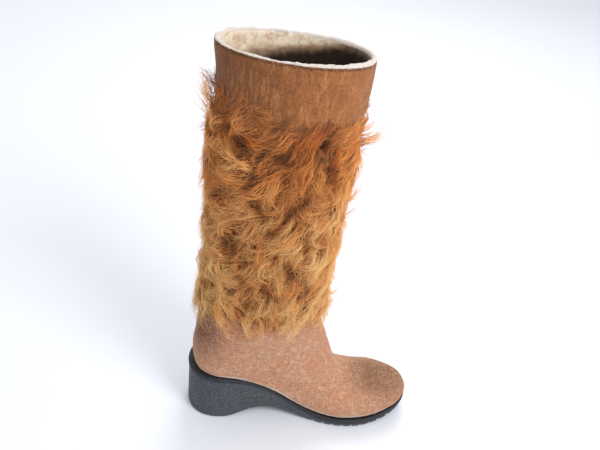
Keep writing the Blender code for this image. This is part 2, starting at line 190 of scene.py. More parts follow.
def tree_of(mesh):
    """The mesh as a tree that rays can be cast at."""
    points = vertex_array(mesh)
    return BVHTree.FromPolygons([Vector(p) for p in points], [tuple(f.vertices) for f in mesh.polygons])


def segment_distance(points, start, end):
    """Distance of each point from the straight line between two places."""
    start, end = np.array(start), np.array(end)
    along = end - start
    share = np.clip((points - start) @ along / (along @ along), 0, 1)
    return np.linalg.norm(points - start - share[:, None] * along, axis=1)


# Strands of wool and felt, all copies of one small pointed rod

# Radius of the rod's tip as a share of its root's, and how many sides it has
ROD_TIP, ROD_SIDES = 0.15, 3


def rod(levels):
    """Pointed rod along Z from 0 to 1, cut at the levels: its points, and its faces as lists of points."""
    bm = bmesh.new()
    middle = Matrix.Translation((0, 0, 0.5))
    bmesh.ops.create_cone(
        bm, cap_ends=True, segments=ROD_SIDES, radius1=1, radius2=ROD_TIP, depth=1, matrix=middle
    )
    for level in levels[1:-1]:
        everything = bm.verts[:] + bm.edges[:] + bm.faces[:]
        bmesh.ops.bisect_plane(bm, geom=everything, plane_co=(0, 0, level), plane_no=(0, 0, 1))
    bm.verts.index_update()
    points = np.array([v.co for v in bm.verts])
    faces = [[v.index for v in face.verts] for face in bm.faces]
    bm.free()
    return points, faces


def strands_mesh(name, paths, outs, widths, levels, colors):
    """Rods bent along paths, with a place, an outward way and a colour for each strand at each level."""
    points, faces = rod(levels)
    count, inside = len(paths), len(points)
    level = np.argmin(np.abs(points[:, 2][:, None] - levels[None]), axis=1)
    ahead = np.gradient(paths, axis=1)
    ahead /= np.linalg.norm(ahead, axis=2)[:, :, None] + 1e-12
    side = np.cross(outs, ahead)
    side /= np.linalg.norm(side, axis=2)[:, :, None] + 1e-12
    up = np.cross(ahead, side)
    across, over = points[:, 0][None, :, None], points[:, 1][None, :, None]
    placed = paths[:, level] + widths[:, None, None] * (side[:, level] * across + up[:, level] * over)
    corners = np.concatenate([np.array(face) for face in faces])
    totals = np.array([len(face) for face in faces])
    mesh = bpy.data.meshes.new(name)
    mesh.vertices.add(count * inside)
    mesh.loops.add(count * len(corners))
    mesh.polygons.add(count * len(totals))
    mesh.vertices.foreach_set("co", placed.astype(np.float32).ravel())
    loops = corners[None] + np.arange(count)[:, None] * inside
    mesh.loops.foreach_set("vertex_index", loops.astype(np.int32).ravel())
    starts = np.concatenate([[0], np.cumsum(totals)[:-1]])[None] + np.arange(count)[:, None] * len(corners)
    mesh.polygons.foreach_set("loop_start", starts.astype(np.int32).ravel())
    mesh.update(calc_edges=True)
    mesh.shade_smooth()
    set_shade(mesh, colors[:, level].reshape(-1, 3))
    return mesh


# Materials


class Value:
    """A shader socket that can be used in arithmetic."""

    def __init__(self, shader, socket):
        self.shader, self.socket = shader, socket

    def math(self, operation, *values):
        return self.shader.node("ShaderNodeMath", {"operation": operation}, dict(enumerate(values)))

    def __add__(self, other):
        return self.math("ADD", self, other)

    __radd__ = __add__

    def __mul__(self, other):
        return self.math("MULTIPLY", self, other)

    __rmul__ = __mul__

    def __sub__(self, other):
        return self.math("SUBTRACT", self, other)

    def __rsub__(self, other):
        return self.math("SUBTRACT", other, self)

    def between(self, low, high):
        """0 below low, 1 above high, smooth between."""
        return self.shader.node(
            "ShaderNodeMapRange",
            {"interpolation_type": "SMOOTHSTEP"},
            {"Value": self, "From Min": low, "From Max": high},
        )


class Shader:
    """A material whose nodes are made by one method."""

    def __init__(self, name, roughness, sheen=0.0, sheen_tint=(1, 1, 1), specular=0.5):
        self.material = bpy.data.materials.new(name)
        self.material.use_nodes = True
        self.tree = self.material.node_tree
        self.surface = self.tree.nodes["Principled BSDF"]
        self.surface.inputs["Roughness"].default_value = roughness
        self.surface.inputs["Sheen Weight"].default_value = sheen
        self.surface.inputs["Sheen Roughness"].default_value = 0.5
        self.surface.inputs["Sheen Tint"].default_value = (*sheen_tint, 1)
        self.surface.inputs["Specular IOR Level"].default_value = specular
        self.places = self.node("ShaderNodeTexCoord", {}, {}, "Object")

    def node(self, kind, settings, inputs, output=0):
        made = self.tree.nodes.new(kind)
        for key, setting in settings.items():
            setattr(made, key, setting)
        for key, value in inputs.items():
            if isinstance(value, Value):
                self.tree.links.new(value.socket, made.inputs[key])
            else:
                made.inputs[key].default_value = value
        return Value(self, made.outputs[output])

    def axis(self, letter):
        return self.node("ShaderNodeSeparateXYZ", {}, {"Vector": self.places}, letter)

    def attribute(self, name):
        return self.node("ShaderNodeAttribute", {"attribute_name": name}, {}, "Fac")

    def shade(self):
        return self.node("ShaderNodeAttribute", {"attribute_name": "shade"}, {}, "Color")

    def noise(self, scale, detail=4.0, rough=0.55, stretch=(1, 1, 1)):
        """Noise from 0 to 1 on the object's own coordinates."""
        places = self.node("ShaderNodeMapping", {}, {"Vector": self.places, "Scale": stretch})
        inputs = {"Vector": places, "Scale": scale, "Detail": detail, "Roughness": rough}
        return self.node("ShaderNodeTexNoise", {}, inputs)

    def mix(self, below, above, share):
        below, above = ((*c, 1) if isinstance(c, tuple) else c for c in (below, above))
        return self.node("ShaderNodeMix", {"data_type": "RGBA"}, {0: share, 6: below, 7: above}, 2)

    def layers(self, color, *coats):
        """A ground colour with coats laid on it, each a colour and the share that it covers."""
        for above, share in coats:
            color = self.mix(color, above, share)
        return color

    def paint(self, color):
        self.tree.links.new(color.socket, self.surface.inputs["Base Color"])

    def roughen(self, value):
        self.tree.links.new(value.socket, self.surface.inputs["Roughness"])

    def emboss(self, height, depth, strength=1.0):
        inputs = {"Height": height, "Distance": depth, "Strength": strength}
        bump = self.node("ShaderNodeBump", {}, inputs, "Normal")
        self.tree.links.new(bump.socket, self.surface.inputs["Normal"])


def foot_color(felt, patches, clouds, mottle, flecks, grain, toe, heel):
    """Sandy brushed felt, rubbed dark on the toe, with painted shade at the back of the ankle."""
    dark = flecks.between(0.66, 0.36) * 0.3 + patches.between(0.3, 0.6) * 0.2 + 0.3
    return felt.layers(
        linear(162, 110, 80),
        (linear(204, 160, 130), flecks.between(0.32, 0.68)),
        (linear(186, 125, 90), patches.between(0.42, 0.72) * 0.5),
        (linear(150, 100, 74), mottle.between(0.48, 0.70) * 0.35),
        (linear(132, 88, 64), grain.between(0.54, 0.72) * 0.26),
        (linear(226, 194, 172), clouds.between(0.48, 0.72) * 0.38),
        (linear(98, 71, 55), toe * dark),
        # Painted shade at the back of the ankle, mottled by the same dark flecks.
        (linear(92, 51, 37), heel * (dark + 0.15)),
    )


def band_color(felt, patches, mottle, streaks, flecks, grain, front, collar_shadow):
    """Brown band under the collar, streaked upright, with painted light towards the front and a painted
    shadow along its top.
    """
    return felt.layers(
        linear(86, 47, 23),
        # Painted light: this lighter coat covers the front, where the light falls, as well as the upright
        # streaks.
        (linear(171, 110, 65), front * 0.80 + streaks.between(0.35, 0.65) * 0.26),
        (linear(64, 38, 25), flecks.between(0.48, 0.66) * 0.54),
        (linear(92, 52, 32), mottle.between(0.50, 0.70) * 0.40),
        (linear(214, 157, 106), streaks.between(0.50, 0.70) * grain.between(0.4, 0.6) * 0.52),
        (linear(126, 74, 46), patches.between(0.45, 0.70) * 0.45),
        # Painted shadow: a thin dark line just below the collar's white edge.
        (linear(58, 36, 26), collar_shadow * flecks.between(0.3, 0.6) * 0.7),
    )


def lining_color(felt, patches, clouds, flecks, inner_shade):
    """Creamy mottled lining with painted shade that turns it brown and then dark down inside the leg."""
    return felt.layers(
        linear(255, 240, 216),
        (linear(190, 134, 86), patches.between(0.42, 0.72) * 0.65),
        (linear(172, 126, 84), clouds.between(0.46, 0.68) * 0.45),
        (linear(172, 140, 112), flecks.between(0.5, 0.7) * 0.40),
        # Painted shade down inside the leg, brown at first and then dark.
        (linear(150, 110, 80), inner_shade.between(0.02, 0.45) * 0.7),
        (linear(36, 26, 21), (inner_shade + (clouds - 0.5) * 0.6).between(0.06, 0.98)),
    )


def felt_material(edge_plane):
    """Felt of the whole upper. edge_plane holds a, b and c of the collar's height, a * x + b * y + c."""
    felt = Shader("wool_felt", 0.95, 0.25, linear(235, 205, 180), 0.2)
    x, y, z = (felt.axis(letter) for letter in "XYZ")
    inner, inner_shade, hem, toe, heel = (felt.attribute(name) for name in ("inner", "inner_shade", "hem", "toe", "heel"))
    patches, clouds, mottle = felt.noise(45, 5), felt.noise(170, 5, 0.6), felt.noise(250, 3, 0.6)
    streaks = felt.noise(300, 5, 0.65, (1, 1, 0.2))
    flecks, grain = felt.noise(480, 4, 0.75), felt.noise(1200, 3, 0.75)
    below_edge = x * edge_plane[0] + y * edge_plane[1] + edge_plane[2] - z
    # Painted shadow: a dark line on the outside just below the white cut edge.
    collar_shadow = (1 - below_edge.between(0.0034, 0.0054)) * (1 - inner)
    ragged = below_edge + (1 - inner) * 0.0004 + (flecks - 0.5) * 0.0016

    foot = foot_color(felt, patches, clouds, mottle, flecks, grain, toe, heel)
    # The band gets painted light towards the front.
    band = band_color(felt, patches, mottle, streaks, flecks, grain, x.between(-0.055, 0.11), collar_shadow)
    lining = lining_color(felt, patches, clouds, flecks, inner_shade)
    white = felt.mix(linear(220, 212, 205), linear(176, 152, 134), grain.between(0.48, 0.70))
    color = felt.layers(
        foot,
        (band, z.between(0.16, 0.32)),
        (linear(226, 212, 200), hem * 0.8),
        (lining, inner),
        (white, 1 - ragged.between(0.0016, 0.0026)),
    )
    felt.paint(color)
    felt.emboss(flecks * 0.8 + clouds * 0.6 + grain * 0.3, 0.0011, 0.8)
    return felt.material


def strand_material(name, roughness, sheen):
    """Strands in the colours of their own attribute, with a little dark grain."""
    wool = Shader(name, roughness, sheen, linear(255, 222, 170), 0.25)
    grain = wool.noise(500, 2)
    wool.paint(wool.mix(wool.shade(), linear(92, 48, 22), grain.between(0.5, 0.8) * 0.2))
    return wool.material


def fleece_material():
    """The matted ground that shows between the strands, in wool colours painted dark as the shade between
    them.
    """
    fleece = Shader("wool_ground", 0.95, 0.3, linear(230, 180, 120), 0.2)
    patches, streaks = fleece.noise(38, 5), fleece.noise(300, 4, 0.6, (1, 1, 0.3))
    # Painted shade: the ground is the wool's colour darkened to stand for the deep shade between the strands.
    color = fleece.layers(
        linear(84, 46, 24),
        (linear(158, 96, 50), streaks.between(0.35, 0.7)),
        (linear(52, 29, 16), patches.between(0.5, 0.72) * 0.8),
    )
    fleece.paint(color)
    fleece.emboss(streaks, 0.002, 0.9)
    return fleece.material


def sole_material():
    """Slate grey rubber with light and dark grain, a darker, smoother rim that is partly painted shadow under
    the felt, and scuffs close to the floor.
    """
    sole = Shader("sole_rubber", 0.62, 0.0, (1, 1, 1), 0.4)
    rim, low = sole.attribute("rim"), sole.axis("Z")
    grain, clouds, dust = sole.noise(1500, 3, 0.7), sole.noise(60, 4, 0.5), sole.noise(700, 4, 0.7)
    scuffs = (1 - low.between(0.0005, 0.006)) * dust.between(0.45, 0.65)
    color = sole.layers(
        linear(60, 63, 69),
        (linear(70, 73, 80), clouds.between(0.35, 0.7)),
        (linear(150, 149, 150), dust.between(0.50, 0.66) * 0.50),
        (linear(30, 32, 38), grain.between(0.50, 0.62) * 0.6),
        # The dark rim is partly the rim's own rubber and partly painted shadow under the felt's edge.
        (linear(30, 32, 38), rim * 0.88),
        (linear(140, 138, 136), scuffs * 0.35),
    )
    sole.paint(color)
    sole.roughen(0.68 - rim * 0.16 + dust * 0.08)
    sole.emboss(grain * 0.6 + dust * 0.4, 0.0004, 0.7)
    return sole.material


def insole_material():
    """Pale needled felt."""
    insole = Shader("insole_felt", 0.95, 0.3, (1, 1, 1), 0.2)
    clouds, flecks = insole.noise(120, 5), insole.noise(900, 3)
    color = insole.layers(
        linear(206, 188, 160),
        (linear(172, 140, 108), clouds.between(0.4, 0.7)),
        (linear(120, 92, 70), flecks.between(0.55, 0.75) * 0.4),
    )
    insole.paint(color)
    insole.emboss(flecks + clouds, 0.0008, 0.7)
    return insole.material


# Sole and insole

# How far below the sole's top edge its dark rim, partly painted shadow under the felt, starts and has ended,
# and the stations that find that edge
RIM_END = (0.0052, 0.0066)
RIM_STATIONS = 60


def rim_height(mesh):
    """Height of the sole's top edge at any x, from the highest points along it."""
    points = vertex_array(mesh)
    edges = np.linspace(points[:, 0].min(), points[:, 0].max(), RIM_STATIONS)
    middles = (edges[1:] + edges[:-1]) / 2
    slot = np.clip(np.digitize(points[:, 0], edges) - 1, 0, len(middles) - 1)
    tops = np.array([points[slot == i, 2].max() for i in range(len(middles))])
    return lambda x: np.interp(x, middles, tops)


def make_sole():
    """The moulded sole. It returns the height of its top edge at any x."""
    mesh = fine_copy("outsole", "outsole_moulded", SOLE_GRID, 3)
    top = rim_height(mesh)
    points = vertex_array(mesh)
    below = top(points[:, 0]) - points[:, 2]
    set_value(mesh, "rim", 1 - smooth_step(*RIM_END, below))
    piece = add_piece("outsole_moulded", mesh, sole_material())
    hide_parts("outsole")
    return top


def make_insole():
    mesh = fine_copy("insole", "insole_felted", INSOLE_GRID, 4)
    piece = add_piece("insole_felted", mesh, insole_material())
    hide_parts("insole")


# Upper

# Creases, each from one point to the next, with the depth and width of the trough
CREASES = (
    ((0.150, -0.006, 0.054), (0.145, -0.034, 0.040), 0.0014, 0.0060),
    ((0.145, -0.034, 0.040), (0.140, -0.046, 0.026), 0.0008, 0.0060),
    ((0.150, 0.006, 0.054), (0.144, 0.030, 0.042), 0.0014, 0.0060),
    ((0.126, -0.010, 0.096), (0.104, -0.037, 0.080), 0.0009, 0.0080),
    ((0.126, 0.010, 0.096), (0.104, 0.038, 0.082), 0.0009, 0.0080),
    ((0.000, -0.036, 0.098), (0.040, -0.041, 0.104), 0.0007, 0.0090),
)

# Soft hollows and swellings of the whole wall: middle, way that it moves, how far, and reach
SWELLS = (
    ((0.1580, 0.000, 0.0560), (-0.20, 0.00, -0.98), 0.0060, 0.0190),
    ((0.1560, 0.029, 0.0490), (-0.10, -0.10, -0.99), 0.0064, 0.0180),
    ((0.1560, -0.029, 0.0490), (-0.10, 0.10, -0.99), 0.0050, 0.0180),
    ((0.1700, 0.031, 0.0450), (0.00, -0.10, -0.99), 0.0030, 0.0130),
    ((0.1700, -0.031, 0.0450), (0.00, 0.10, -0.99), 0.0020, 0.0130),
    ((0.1900, 0.024, 0.0430), (0.00, 0.30, 0.95), 0.0016, 0.0130),
    ((0.2040, 0.002, 0.0410), (0.50, 0.00, 0.87), 0.0052, 0.0200),
)

# Where the toe meets the leg in a rounded hollow, and how far round it the felt is smoothed
NOTCH, NOTCH_REACH = (0.152, 0.0, 0.058), 0.022

# Heights between which the inside turns into lining, and between which the wool starts and stops covering
LINING_FROM = (0.10, 0.13)
COVER_FROM, COVER_TO = (0.115, 0.14), (0.37, 0.385)

# The collar's cut edge: where it starts and ends below its plane, and how far it and its front are raised
CUT_EDGE = (0.0026, 0.0040)
EDGE_RAISE, FRONT_RAISE = 0.0010, 0.0016

# The light hem on the sole, and the rubbed patch on the toe and the painted shade at the back of the ankle,
# each a middle and half its lengths
HEM_BAND = (0.0030, 0.0062)
TOE_PATCH = ((0.198, -0.010, 0.045), (0.052, 0.048, 0.036))
ANKLE_SHADE_PATCH = ((-0.018, -0.020, 0.126), (0.036, 0.042, 0.046))


def collar_plane(points, normals):
    """a, b and c of the plane through the collar's edge, whose height is a * x + b * y + c."""
    top = points[(points[:, 2] > 0.40) & (normals[:, 2] > 0.8)]
    plane = np.linalg.lstsq(np.column_stack([top[:, :2], np.ones(len(top))]), top[:, 2], rcond=None)[0]
    plane[2] += EDGE_RAISE
    return plane


def soft_form(mesh, sharp, below_edge):
    """The solid's points with every edge but the collar's worn soft, and with the notch and the swells."""
    soft = soften(mesh, sharp, 12)
    points = soft + (sharp - soft) * (1 - smooth_step(0.004, 0.016, below_edge))[:, None]
    near = np.linalg.norm(points - np.array(NOTCH), axis=1) / NOTCH_REACH
    points += (soften(mesh, points, 50) - points) * np.exp(-(near**2))[:, None]
    for middle, way, depth, reach in SWELLS:
        near = np.linalg.norm(points - np.array(middle), axis=1) / reach
        points += np.array(way) * (depth * np.exp(-(near**2)))[:, None]
    return points


def surface_move(points, below_edge, outer, hem_gap):
    """How far each point moves out, for the ripples of hand-worked felt and for the creases."""
    near_edge = 1 - smooth_step(0.004, 0.030, below_edge)
    move = Ripples(1, 0.11)(points) * 0.0006 * (1 - 0.8 * near_edge)
    move += Ripples(2, 0.035)(points) * 0.00028 + Ripples(3, 0.009)(points) * 0.00010
    for start, end, depth, width in CREASES:
        near = segment_distance(points, start, end)
        move -= depth * np.exp(-((near / width) ** 2)) * outer
        move += 0.45 * depth * np.exp(-(((near - 1.9 * width) / width) ** 2)) * outer
    covered = smooth_step(*COVER_FROM, points[:, 2]) * (1 - smooth_step(*COVER_TO, points[:, 2]))
    held = smooth_step(-0.001, 0.006, np.abs(hem_gap))
    return move * ((1 - 0.7 * covered) * held)


def in_patch(points, patch, full, none):
    """1 at the middle of a patch, 0 outside it. full and none are shares of its half lengths."""
    middle, reach = (np.array(values) for values in patch)
    return 1 - smooth_step(full, none, np.linalg.norm((points - middle) / reach, axis=1))


def make_upper(rim_top):
    """The felt upper. It returns the mesh, and how far each point is cut edge, inside, and in painted shade
    deep inside.
    """
    mesh = fine_copy("upper", "upper_felted", FELT_GRID, 2)
    sharp = vertex_array(mesh)
    edge_plane = collar_plane(sharp, normal_array(mesh))
    below_edge = sharp[:, :2] @ edge_plane[:2] + edge_plane[2] - sharp[:, 2]
    points = soft_form(mesh, sharp, below_edge)
    set_vertices(mesh, points)
    normals = normal_array(mesh)

    away = points[:, :2] - np.array([LEG_X, LEG_Y])
    away /= np.linalg.norm(away, axis=1)[:, None] + 1e-9
    facing = (normals[:, :2] * away).sum(axis=1)
    inner = smooth_step(*LINING_FROM, points[:, 2]) * (1 - smooth_step(-0.35, 0.05, facing))
    rim = 1 - smooth_step(*CUT_EDGE, below_edge + (1 - inner) * 0.0014)
    hem_gap = points[:, 2] - rim_top(points[:, 0])
    move = surface_move(points, below_edge, 1 - inner, hem_gap)
    points = points + normals * (move + 0.0005 * rim)[:, None]
    raised = FRONT_RAISE * smooth_step(0.03, 0.12, points[:, 0])
    points[:, 2] += (Ripples(4, 0.040)(points) * 0.0002 + Ripples(5, 0.006)(points) * 0.0002 + raised) * rim
    set_vertices(mesh, points)

    # Painted shade inside the leg: it starts further below the collar's edge at the back and nearer to it
    # towards the front.
    ahead, front = smooth_step(0.00, 0.10, points[:, 0]), smooth_step(0.075, 0.120, points[:, 0])
    dark_from = 0.014 - 0.010 * ahead - 0.010 * front
    dark_to = 0.040 - 0.020 * ahead - 0.008 * front
    inner_shade = smooth_step(dark_from, dark_to, below_edge)
    set_value(mesh, "inner", inner)
    set_value(mesh, "inner_shade", inner_shade)
    set_value(mesh, "hem", (1 - smooth_step(*HEM_BAND, hem_gap)) * (points[:, 2] < 0.10))
    set_value(mesh, "toe", in_patch(points, TOE_PATCH, 0.20, 1.15))
    # Where the back of the ankle gets painted shade.
    set_value(mesh, "heel", in_patch(points, ANKLE_SHADE_PATCH, 0.25, 1.25))
    material = felt_material([float(value) for value in edge_plane])
    piece = add_piece("upper_felted", mesh, material)
    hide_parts("upper")
    return mesh, rim, inner, inner_shade


# Felt fibres: the levels at which one bends, and the least and the most of their length and radius
FIBRE_LEVELS = np.array([0.0, 0.55, 1.0])
FIBRE_LENGTH = (0.0012, 0.0034)
FIBRE_RADIUS = (0.00006, 0.00012)

# Heights up to which fibres stand on the foot, and from which they stand on the band and on the lining
FOOT_TOP, BAND_FROM, LINING_FIBRES_FROM = 0.125, 0.365, 0.39


def fibre_color(places, rim, inner, inner_shade):
    """Colour of a fibre that stands on the foot, the band, the cut edge or the lining, with painted shade at
    the back of the band and deep in the lining.
    """
    foot, band = np.array(linear(200, 156, 130)), np.array(linear(152, 102, 70))
    white, lining = np.array(linear(232, 224, 216)), np.array(linear(206, 178, 150))
    color = np.where((places[:, 2] < 0.2)[:, None], foot, band)
    # Painted shade: fibres on the band are darker towards the back, and those on the lining darker deep
    # inside.
    back = 1 - smooth_step(-0.03, 0.09, places[:, 0])
    color = color * (1 - 0.60 * back * (places[:, 2] > 0.2))[:, None]
    color = color + (lining * (1 - 0.92 * inner_shade)[:, None] - color) * inner[:, None]
    return color + (white - color) * rim[:, None]


def make_felt_fibres(mesh, rim, inner, inner_shade):
    """Short fibres that stand off the felt, on the foot, the band under the collar and the collar's edge."""
    points, normals = vertex_array(mesh), normal_array(mesh)
    z = points[:, 2]
    wanted = (z < FOOT_TOP) | (z > BAND_FROM)
    wanted &= (inner < 0.5) | (z > LINING_FIBRES_FROM)
    wanted &= normals[:, 2] > -0.75
    weight = wanted * (1 + 1.6 * rim)
    picked = rng.choice(len(points), FELT_FIBRES, p=weight / weight.sum())
    place, out = points[picked], normals[picked]
    stray = rng.normal(size=place.shape)
    lying = np.cross(np.cross(out, stray + np.array([0, 0, -0.6])), out)
    lying /= np.linalg.norm(lying, axis=1)[:, None] + 1e-9
    length = rng.uniform(*FIBRE_LENGTH, len(picked)) * (1 - 0.35 * rim[picked])
    lift = rng.uniform(0.10, 0.65, len(picked))
    paths = []
    for level in FIBRE_LEVELS:
        reach = (length * level)[:, None]
        standing = (lift * (1.2 - 0.5 * level))[:, None]
        paths.append(place - out * 0.0003 + lying * reach + out * reach * standing)
    paths = np.stack(paths, axis=1)
    outs = np.repeat(out[:, None], len(FIBRE_LEVELS), axis=1)
    color = fibre_color(place, rim[picked], inner[picked], inner_shade[picked])
    color = color * rng.uniform(0.62, 1.18, len(picked))[:, None]
    colors = np.repeat(color[:, None], len(FIBRE_LEVELS), axis=1)
    widths = rng.uniform(*FIBRE_RADIUS, len(picked))
    made = strands_mesh("felt_fibres", paths, outs, widths, FIBRE_LEVELS, colors)
    add_piece("felt_fibres", made, strand_material("felt_fibre", 0.9, 0.2))


# Wool

# The levels at which a strand bends, and the steps by which its path is first drawn
STRAND_LEVELS = np.array([0.0, 0.25, 0.5, 0.75, 1.0])
PATH_STEPS = 13

# Locks, each with its least and most: length, width, and how high its back arches
LOCK_LENGTH = (0.026, 0.050)
LOCK_WIDTH = (0.004, 0.0085)
LOCK_ARCH = (0.0012, 0.0048)

# Share of locks whose tips stand free, and how far the tips of those and of the others stand out
FREE_LOCKS = 0.35
FREE_RISE, LAID_RISE = (0.0015, 0.0065), (-0.002, 0.001)

# Radius of a strand, and the length and radius of a loose one
STRAND_RADIUS = (0.00016, 0.00032)
LOOSE_LENGTH = (0.016, 0.045)
LOOSE_RADIUS = (0.00009, 0.00016)

# Radii of the leg by which a turn becomes a length, for strands and for partings
LAY_RADIUS, PARTING_RADIUS = 0.060, 0.056

# Half the width of a parting
PARTING_REACH = 0.0038

# A strand sinks at a gap by a share of its lift above the least, up to the most
SINK_SHARE, LEAST_LIFT, MOST_SUNK = 0.8, 0.0006, 0.0040

# How much painted shade darkens a strand at a gap
GAP_SHADE = 0.82

# Share of red, green and blue that the wool loses high on the leg, and its colour flat on the felt at the top
HIGH_LOSS = np.array([0.0, 0.11, 0.24])
TOP_COLOR = np.array(linear(162, 100, 62))

# Readings of the leg's face: how many to a turn, the heights, how far out the rays start, and the radius
# where a ray misses
LEG_TURNS = 96
LEG_HEIGHTS = np.linspace(0.07, 0.436, 84)
RAY_START = 0.3
PLAIN_RADIUS = 0.05


class Leg:
    """The felt leg's outer face: its distance from an upright line at any turn round it and any height."""

    def __init__(self, mesh):
        tree = tree_of(mesh)
        self.turns, self.heights = LEG_TURNS, LEG_HEIGHTS
        self.table = np.empty((len(self.heights), self.turns))
        for i, height in enumerate(self.heights):
            for j in range(self.turns):
                turn = 2 * math.pi * j / self.turns
                way = Vector((math.cos(turn), math.sin(turn), 0))
                start = Vector((LEG_X, LEG_Y, height)) + way * RAY_START
                hit = tree.ray_cast(start, -way)[0]
                self.table[i, j] = (hit.xy - Vector((LEG_X, LEG_Y))).length if hit else PLAIN_RADIUS

    def radius(self, turn, height):
        """Distance of the felt's face from the upright line, between the four nearest readings."""
        place = np.mod(turn / (2 * math.pi), 1.0) * self.turns
        j = np.floor(place).astype(int) % self.turns
        s = place - np.floor(place)
        step = self.heights[1] - self.heights[0]
        up = np.clip((height - self.heights[0]) / step, 0, len(self.heights) - 1.001)
        i = up.astype(int)
        t = up - i
        k = (j + 1) % self.turns
        low = self.table[i, j] * (1 - s) + self.table[i, k] * s
        high = self.table[i + 1, j] * (1 - s) + self.table[i + 1, k] * s
        return low * (1 - t) + high * t

    def spot(self, turn, height, lift):
        """Place at a turn and a height, lift away from the felt."""
        reach = self.radius(turn, height) + lift
        return np.stack([LEG_X + reach * np.cos(turn), LEG_Y + reach * np.sin(turn), height], axis=-1)


# Colours of the wool, from dark rust to pale straw
WOOL_TONES = np.array([
    linear(78, 36, 17),
    linear(176, 98, 48),
    linear(232, 148, 80),
    linear(250, 186, 112),
    linear(253, 210, 145),
])


def wool_color(tone):
    """Colour of wool for tones from 0, dark rust, to 1, pale straw."""
    at = np.clip(tone, 0, 1) * (len(WOOL_TONES) - 1)
    low = np.minimum(at.astype(int), len(WOOL_TONES) - 2)
    share = (at - low)[..., None]
    return WOOL_TONES[low] * (1 - share) + WOOL_TONES[low + 1] * share


class Swirl:
    """Which way the wool lies, and how light it is, anywhere on the leg."""

    def __init__(self):
        self.lean = Ripples(11, 0.12)
        self.light, self.patch = Ripples(12, 0.045), Ripples(13, 0.10)
        self.lumps, self.pits = Ripples(14, 0.034), Ripples(15, 0.017)

    def angle(self, places):
        """Angle from straight down. Below 0 the wool runs back towards the heel on the inner side."""
        return -0.35 - 0.40 * smooth_step(0.14, 0.26, places[:, 2]) + 0.50 * self.lean(places)

    def lump(self, places):
        """Matted lumps that stretch the way the wool lies."""
        x, y, z = places.T
        return np.clip(self.lumps(np.column_stack([(x - z) * 0.7, y, (x + z) * 0.3])), -1.4, 1.4)

    def pit(self, places):
        """Small pits between the tufts, where strands sink and are painted dark as shade, from 0 to 1."""
        x, y, z = places.T
        return smooth_step(0.9, 1.9, self.pits(np.column_stack([(x - z) * 0.7, y, (x + z) * 0.4])))

    def tone(self, places):
        """How light the wool is: lighter low down, darker near the collar, with painted light on the lumps'
        crests and painted shade in their hollows.
        """
        height = places[:, 2]
        shade = 0.19 * (1 - smooth_step(0.14, 0.25, height)) - 0.10 * smooth_step(0.27, 0.38, height)
        # The lump term is painted light on the lumps' crests and painted shade in their hollows.
        spots = 0.08 * self.light(places) + 0.08 * self.patch(places) + 0.10 * self.lump(places)
        return 0.645 + spots + shade


def band_edges(turn):
    """Lower and upper edge of the wool at a turn."""
    low = 0.128 + 0.012 * np.clip(-np.sin(turn), 0, 1) + 0.006 * np.clip(-np.cos(turn), 0, 1)
    low += 0.004 * np.sin(5 * turn) + 0.003 * np.sin(9 * turn + 2)
    high = 0.396 - 0.012 * np.cos(turn) + 0.005 * np.sin(5 * turn + 1) + 0.003 * np.sin(11 * turn)
    return low, high


def lay_strands(leg, turn, height, angle, bend, length, side, base, arch, rise, power):
    """Paths and outward ways of strands that start at a turn and a height and run over the leg.

    angle is from straight down and bend is how much it changes. side is how far a strand lies off its lock's
    middle. base, arch and rise lift it all along, at its middle and at its tip, and power says how late the
    tip's part begins.
    """
    fine = np.linspace(0, 1, PATH_STEPS)
    lean = angle[:, None] + bend[:, None] * fine
    step = length[:, None] / (len(fine) - 1)
    across = np.cumsum(np.sin(lean) * step, axis=1) - np.sin(lean[:, :1]) * step
    down = np.cumsum(np.cos(lean) * step, axis=1) - np.cos(lean[:, :1]) * step
    gather = 1 - 0.75 * fine**1.4
    across = across + side[:, None] * gather * np.cos(lean)
    down = down - side[:, None] * gather * np.sin(lean)
    z = height[:, None] - down
    round_leg = turn[:, None] + across / LAY_RADIUS
    lift = base[:, None] + arch[:, None] * np.sin(math.pi * fine**0.8)
    lift = lift + rise[:, None] * fine ** power[:, None]
    paths = leg.spot(round_leg, z, lift)
    outs = np.stack([np.cos(round_leg), np.sin(round_leg), np.zeros_like(z)], axis=-1)
    keep = [int(round(level * (len(fine) - 1))) for level in STRAND_LEVELS]
    return paths[:, keep], outs[:, keep]


